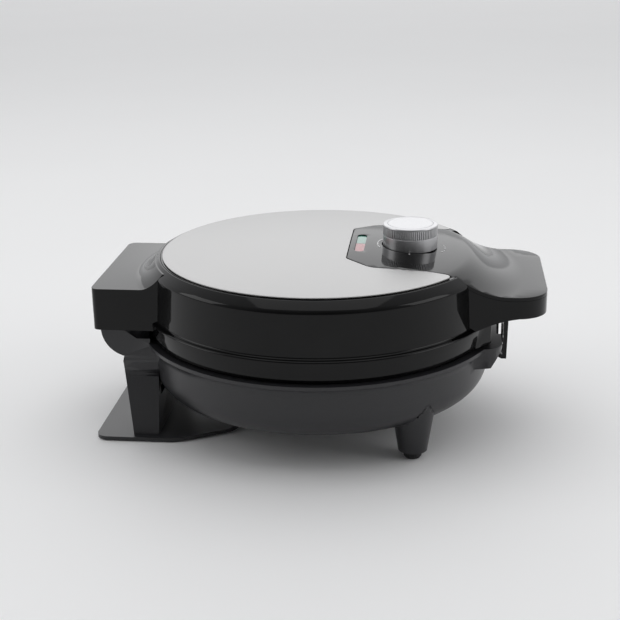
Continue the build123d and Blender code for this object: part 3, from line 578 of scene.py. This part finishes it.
def buildPanel(facts):
    panel = slab("controlPanel", islandPlan(0.0), 90.0, level["apex"] + 10)
    combine(panel, deckSolid("panelTop", 0.0, 200.0, 60.0), "INTERSECT")
    combine(panel, deckSolid("panelUnder", facts["thickness"], 210.0, 40.0), "DIFFERENCE")
    wellFloor = crownHeight(-facts["knobY"]) - facts["wellDepth"]
    well = lathe("well", [(0, wellFloor), (facts["wellRadius"], wellFloor), (facts["wellRadius"] + 0.4, 150),
                          (0, 150)], (0, facts["knobY"]), 96)
    combine(panel, well, "DIFFERENCE")
    combine(panel, roundSlot("lampHole", facts["lampLong"], facts["lampWide"], facts["lampY"], 60, 150),
            "DIFFERENCE")
    softEdges(panel, facts["edge"], 40, 3)
    return panel


controlPanel = buildPanel(panelFacts)
finishPiece(controlPanel, "lid", "gloss_black", ["control_panel"], 28)

knobFacts = dict(radius=20.4, height=18.1, sink=0.8, grip=8.2, ribs=80, ribDepth=0.9, capRadius=16.9)


def buildKnob(facts):
    low = crownHeight(-panelFacts["knobY"]) - facts["sink"]
    high = low + facts["height"]
    gripLow = high - facts["grip"]
    radius, inner = facts["radius"], facts["radius"] - facts["ribDepth"]
    profile = [(radius - 2.2, low), (radius - 0.3, low), (radius, low + 0.3), (radius, gripLow - 0.25),
               (radius - 0.2, gripLow), (inner, gripLow + 0.1), (inner, high - 1.7), (radius - 0.1, high - 1.55),
               (radius, high - 1.35), (radius, high - 0.9), (radius - 0.25, high - 0.3), (radius - 0.9, high),
               (facts["capRadius"] + 0.3, high), (facts["capRadius"] + 0.1, high - 0.5), (0, high - 0.5),
               (0, high - 2.0), (radius - 2.2, high - 2.0)]
    body = lathe("dialBody", profile, steps=120)
    pitch = 2 * math.pi / facts["ribs"]
    half = radius * pitch * 0.29
    foot = inner - 0.3
    plan = rounded([(foot, -half, 0), (radius, -half, 0.22), (radius, half, 0.22), (foot, half, 0)], 2)
    rib = slab("rib", plan, gripLow - 0.05, high - 1.5)
    ribs = [rib]
    for index in range(1, facts["ribs"]):
        copy = rib.copy()
        copy.data = rib.data.copy()
        copy.data.transform(Matrix.Rotation(index * pitch, 4, "Z"))
        bpy.context.collection.objects.link(copy)
        ribs.append(copy)
    clearSelection()
    for piece in ribs + [body]:
        piece.select_set(True)
    bpy.context.view_layer.objects.active = body
    bpy.ops.object.join()
    body.data.transform(Matrix.Translation((0, panelFacts["knobY"] * mm, 0)))
    edge = facts["capRadius"]
    cap = lathe("dialCap", [(0, high - 0.5), (edge, high - 0.5), (edge, high - 0.1),
                            (edge - 0.25, high + 0.1), (0, high + 0.1)], (0, panelFacts["knobY"]), 96)
    return body, cap


dialBody, dialCap = buildKnob(knobFacts)
finishPiece(dialBody, "knob", "dial_metal", ["knob_body"], 30)
finishPiece(dialCap, "knob", "dial_metal", ["knob_cap"], 30)
print("lid trim done")


def smoothCopy(name, node, body, angle=25, gap=0.01):
    # a CAD node's own shape with its corners merged and its round faces smoothed
    clearSelection()
    copy = cad[node].copy()
    copy.data = cad[node].data.copy()
    copy.name = name
    copy.parent = None
    copy.matrix_world = cad[node].matrix_world
    bpy.context.collection.objects.link(copy)
    makeActive(copy)
    bpy.ops.object.transform_apply(location=True, rotation=True, scale=True)
    bpy.ops.object.mode_set(mode="EDIT")
    bpy.ops.mesh.select_all(action="SELECT")
    bpy.ops.mesh.remove_doubles(threshold=gap * mm)
    bpy.ops.object.mode_set(mode="OBJECT")
    copy.data.transform(Matrix.Translation((0, -axisY * mm, 0)))
    finishPiece(copy, body, slotOf[node], [node], angle)
    return copy


slotOf = {part["node"]: part["material_slot"] for part in frame["record"]["subparts"]}

bodyOf = {}
for body, held in frame["record"]["behaviour"]["bodies"].items():
    for node in held:
        bodyOf[node] = body

smoothed = ["base_shell", "foot_plate", "leg_left", "leg_right", "leg_tip_left", "leg_tip_right",
            "cord_gland", "handle_cover", "latch_lever", "lower_cook_plate", "upper_cook_plate"]
for node in smoothed:
    if node in cad:
        smoothCopy(node + "_dressed", node, bodyOf[node])

# CAD nodes that keep their own shape
for name, node in cad.items():
    slotName = slotOf.get(name)
    if slotName in finish:
        node.data.materials.clear()
        node.data.materials.append(finish[slotName])
    else:
        print("no slot for", name, slotName)


# floor, light and camera
clearSelection()
bpy.ops.mesh.primitive_plane_add(size=30.0)
floor = bpy.context.object
floor.name = "floor"
floorShade = Shade("paleFloor", (0.90, 0.90, 0.90), 0.75)
cloud = floorShade.noise(3.0, 2.0)
floorShade.set("Base Color", floorShade.blend(cloud, (0.89, 0.89, 0.89), (0.91, 0.91, 0.91)))
floor.data.materials.append(floorShade.material)

roomFacts = dict(front=0.12, back=0.95, overhead=6.0, rear=38.0, flank=7.0)
world = bpy.data.worlds.new("paleRoom")
scene.world = world
world.use_nodes = True
roomLight = world.node_tree.nodes["Background"]
roomLight.inputs["Color"].default_value = (0.97, 0.975, 0.99, 1.0)
# the room is paler behind the object than on the viewer's side
direction = world.node_tree.nodes.new("ShaderNodeTexCoord")
split = world.node_tree.nodes.new("ShaderNodeSeparateXYZ")
side = world.node_tree.nodes.new("ShaderNodeMapRange")
world.node_tree.links.new(direction.outputs["Generated"], split.inputs[0])
world.node_tree.links.new(split.outputs[0], side.inputs["Value"])
side.inputs["From Min"].default_value = -0.9
side.inputs["From Max"].default_value = 0.7
side.inputs["To Min"].default_value = roomFacts["front"]
side.inputs["To Max"].default_value = roomFacts["back"]
world.node_tree.links.new(side.outputs[0], roomLight.inputs["Strength"])


def softbox(name, place, target, size, power):
    bpy.ops.object.light_add(type="AREA", location=place)
    lamp = bpy.context.object
    lamp.name = name
    lamp.data.shape = "RECTANGLE"
    lamp.data.size, lamp.data.size_y = size
    lamp.data.energy = power
    lamp.rotation_euler = (Vector(target) - Vector(place)).to_track_quat("-Z", "Y").to_euler()
    return lamp


softbox("overhead", (0.15, 0.0, 1.5), (0, 0, 0.1), (1.5, 1.9), roomFacts["overhead"])
softbox("rearPanel", (5.5, 0.0, 2.6), (0, 0, 0.1), (7.0, 2.8), roomFacts["rear"])
for hand in (-1, 1):
    softbox("flankPanel", (-0.3, 2.0 * hand, 1.0), (0, 0, 0.1), (1.2, 1.2), roomFacts["flank"])

phi, rise, far = math.radians(6.21), math.radians(18.93), 0.945
right = Vector((math.sin(phi), -math.cos(phi), 0.0))
ahead = Vector((math.cos(phi) * math.cos(rise), math.sin(phi) * math.cos(rise), -math.sin(rise)))
up = Vector((math.cos(phi) * math.sin(rise), math.sin(phi) * math.sin(rise), math.cos(rise)))
bpy.ops.object.camera_add()
camera = bpy.context.object
camera.data.lens = 72.35
camera.data.sensor_width = 36.0
camera.data.clip_start = 0.02
spot = Vector((0.0, 0.003, 0.130)) - far * ahead - 0.0077 * right - 0.0463 * up
turn = Matrix((right, up, -ahead)).transposed() @ Matrix.Rotation(math.radians(-0.72), 3, "Z")
camera.matrix_world = Matrix.Translation(spot) @ turn.to_4x4()
scene.camera = camera
scene.view_settings.view_transform = "Standard"

clearSelection()
bpy.context.view_layer.update()
print("scene ready")
